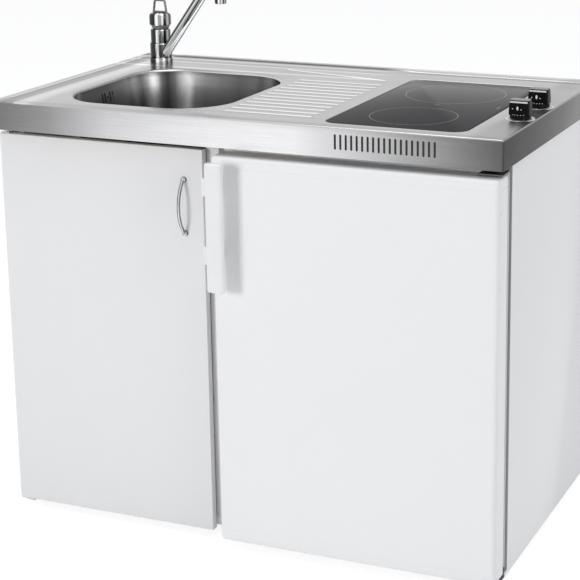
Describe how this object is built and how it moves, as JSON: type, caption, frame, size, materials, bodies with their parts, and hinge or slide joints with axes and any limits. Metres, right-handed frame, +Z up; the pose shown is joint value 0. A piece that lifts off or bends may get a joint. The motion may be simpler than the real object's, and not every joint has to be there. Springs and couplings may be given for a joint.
{
  "type": "kitchenette unit with sink and hob",
  "caption": "Compact kitchen unit: steel worktop with sink, drainer and glass hob over a one-door cupboard and a refrigerator with a bar handle.",
  "frame": {"origin": "middle of the whole unit's footprint, on the floor", "axes": "+X to the right as seen by the user, +Y to the wall behind the unit, +Z up"},
  "size_m": [1, 0.66, 1.0114],
  "materials": {
    "white_board": "satin",
    "door_board": "satin",
    "hardboard": "matte",
    "raw_wood": "matte",
    "zinc_steel": "satin",
    "white_plastic": "satin",
    "chrome": "polished",
    "stainless_steel": "satin",
    "bowl_steel": "satin",
    "pipe_plastic": "satin",
    "brass": "satin",
    "copper": "satin",
    "grey_plastic": "matte",
    "hob_glass": "gloss",
    "black_rubber": "matte",
    "heater_ceramic": "matte",
    "black_plastic": "satin",
    "white_paint": "gloss",
    "foam": "matte",
    "liner_plastic": "gloss",
    "black_paint": "satin",
    "compressor_black": "satin",
    "aluminium": "satin",
    "clear_plastic": "gloss",
    "shelf_glass": "gloss",
    "gasket_rubber": "matte"
  },
  "bodies": {
    "root": {"left_panel": "white_board", "divider_panel": "white_board", "base_panel": "white_board", "rear_rail": "white_board", "back_panel": "hardboard", "front_rail": "zinc_steel", "panel_glides": "white_plastic", "upper_pivot": "zinc_steel", "lower_pivot": "zinc_steel", "worktop_sheet": "stainless_steel", "worktop_frame": "raw_wood", "sink_bowl": "bowl_steel", "waste_flange": "bowl_steel", "overflow_pipe": "pipe_plastic", "waste_body": "pipe_plastic", "trap_cup": "pipe_plastic", "waste_pipe": "pipe_plastic", "tap_body": "chrome", "tap_nut": "brass", "tap_tails": "copper", "hob_glass": "hob_glass", "hob_seal": "black_rubber", "hob_tray": "black_paint", "front_heater": "heater_ceramic", "rear_heater": "heater_ceramic", "front_regulator": "white_plastic", "rear_regulator": "white_plastic", "fridge_casing": "white_paint", "fridge_insulation": "foam", "fridge_liner": "liner_plastic", "fridge_feet": "grey_plastic", "condenser": "black_paint", "compressor": "compressor_black", "ice_box": "aluminium", "glass_shelves": "shelf_glass", "thermostat": "liner_plastic", "fridge_hinges": "zinc_steel"},
    "cupboard_door": {"cupboard_door": "door_board", "bow_handle": "chrome", "handle_screws": "zinc_steel"},
    "fridge_door": {"fridge_door": "white_paint", "door_foam": "foam", "door_liner": "liner_plastic", "door_gasket": "gasket_rubber", "door_racks": "clear_plastic", "bar_handle": "white_plastic", "door_plugs": "white_plastic"},
    "ice_flap": {"ice_flap": "clear_plastic"},
    "crisper": {"crisper": "clear_plastic"},
    "thermostat_dial": {"thermostat_dial": "white_plastic"},
    "front_knob": {"front_knob": "black_plastic", "front_spindle": "zinc_steel"},
    "rear_knob": {"rear_knob": "black_plastic", "rear_spindle": "zinc_steel"},
    "spout": {"tap_spout": "chrome", "tap_aerator": "chrome"},
    "mixer": {"tap_cartridge": "grey_plastic", "lever_pin": "zinc_steel"},
    "lever": {"tap_lever": "chrome"},
    "strainer": {"sink_strainer": "bowl_steel"}
  },
  "joints": [
    {"name": "cupboard_door_hinge", "type": "hinge", "parent": "root", "child": "cupboard_door", "pos_m": [-0.492, -0.237, 0.4], "axis": [0, 0, -1], "range_deg": [0, 110]},
    {"name": "fridge_door_hinge", "type": "hinge", "parent": "root", "child": "fridge_door", "pos_m": [0.483, -0.252, 0.4], "axis": [0, 0, 1], "range_deg": [0, 115]},
    {"name": "ice_flap_hinge", "type": "hinge", "parent": "root", "child": "ice_flap", "pos_m": [0.2575, -0.101, 0.6298], "axis": [1, 0, 0], "range_deg": [0, 90]},
    {"name": "crisper_slide", "type": "slide", "parent": "root", "child": "crisper", "axis": [0, -1, 0], "range_m": [0, 0.03]},
    {"name": "thermostat_turn", "type": "hinge", "parent": "root", "child": "thermostat_dial", "pos_m": [0.03, -0.15, 0.6608], "axis": [0, 1, 0], "range_deg": [0, 270]},
    {"name": "front_knob_turn", "type": "hinge", "parent": "root", "child": "front_knob", "pos_m": [0.472, -0.09, 0.83], "axis": [0, 0, -1], "range_deg": [0, 300]},
    {"name": "rear_knob_turn", "type": "hinge", "parent": "root", "child": "rear_knob", "pos_m": [0.472, 0.023, 0.83], "axis": [0, 0, -1], "range_deg": [0, 300]},
    {"name": "spout_swivel", "type": "hinge", "parent": "root", "child": "spout", "pos_m": [-0.412, 0.225, 0.844], "axis": [0, 0, 1], "range_deg": [-75, 35]},
    {"name": "mixer_turn", "type": "hinge", "parent": "root", "child": "mixer", "pos_m": [-0.412, 0.225, 0.902], "axis": [0, 0, 1], "range_deg": [-45, 45]},
    {"name": "mixer_lift", "type": "hinge", "parent": "mixer", "child": "lever", "pos_m": [-0.412, 0.225, 0.902], "axis": [-1, 0, 0], "range_deg": [0, 20]},
    {"name": "strainer_lift", "type": "slide", "parent": "root", "child": "strainer", "axis": [0, 0, 1], "range_m": [0, 0.06]}
  ]
}
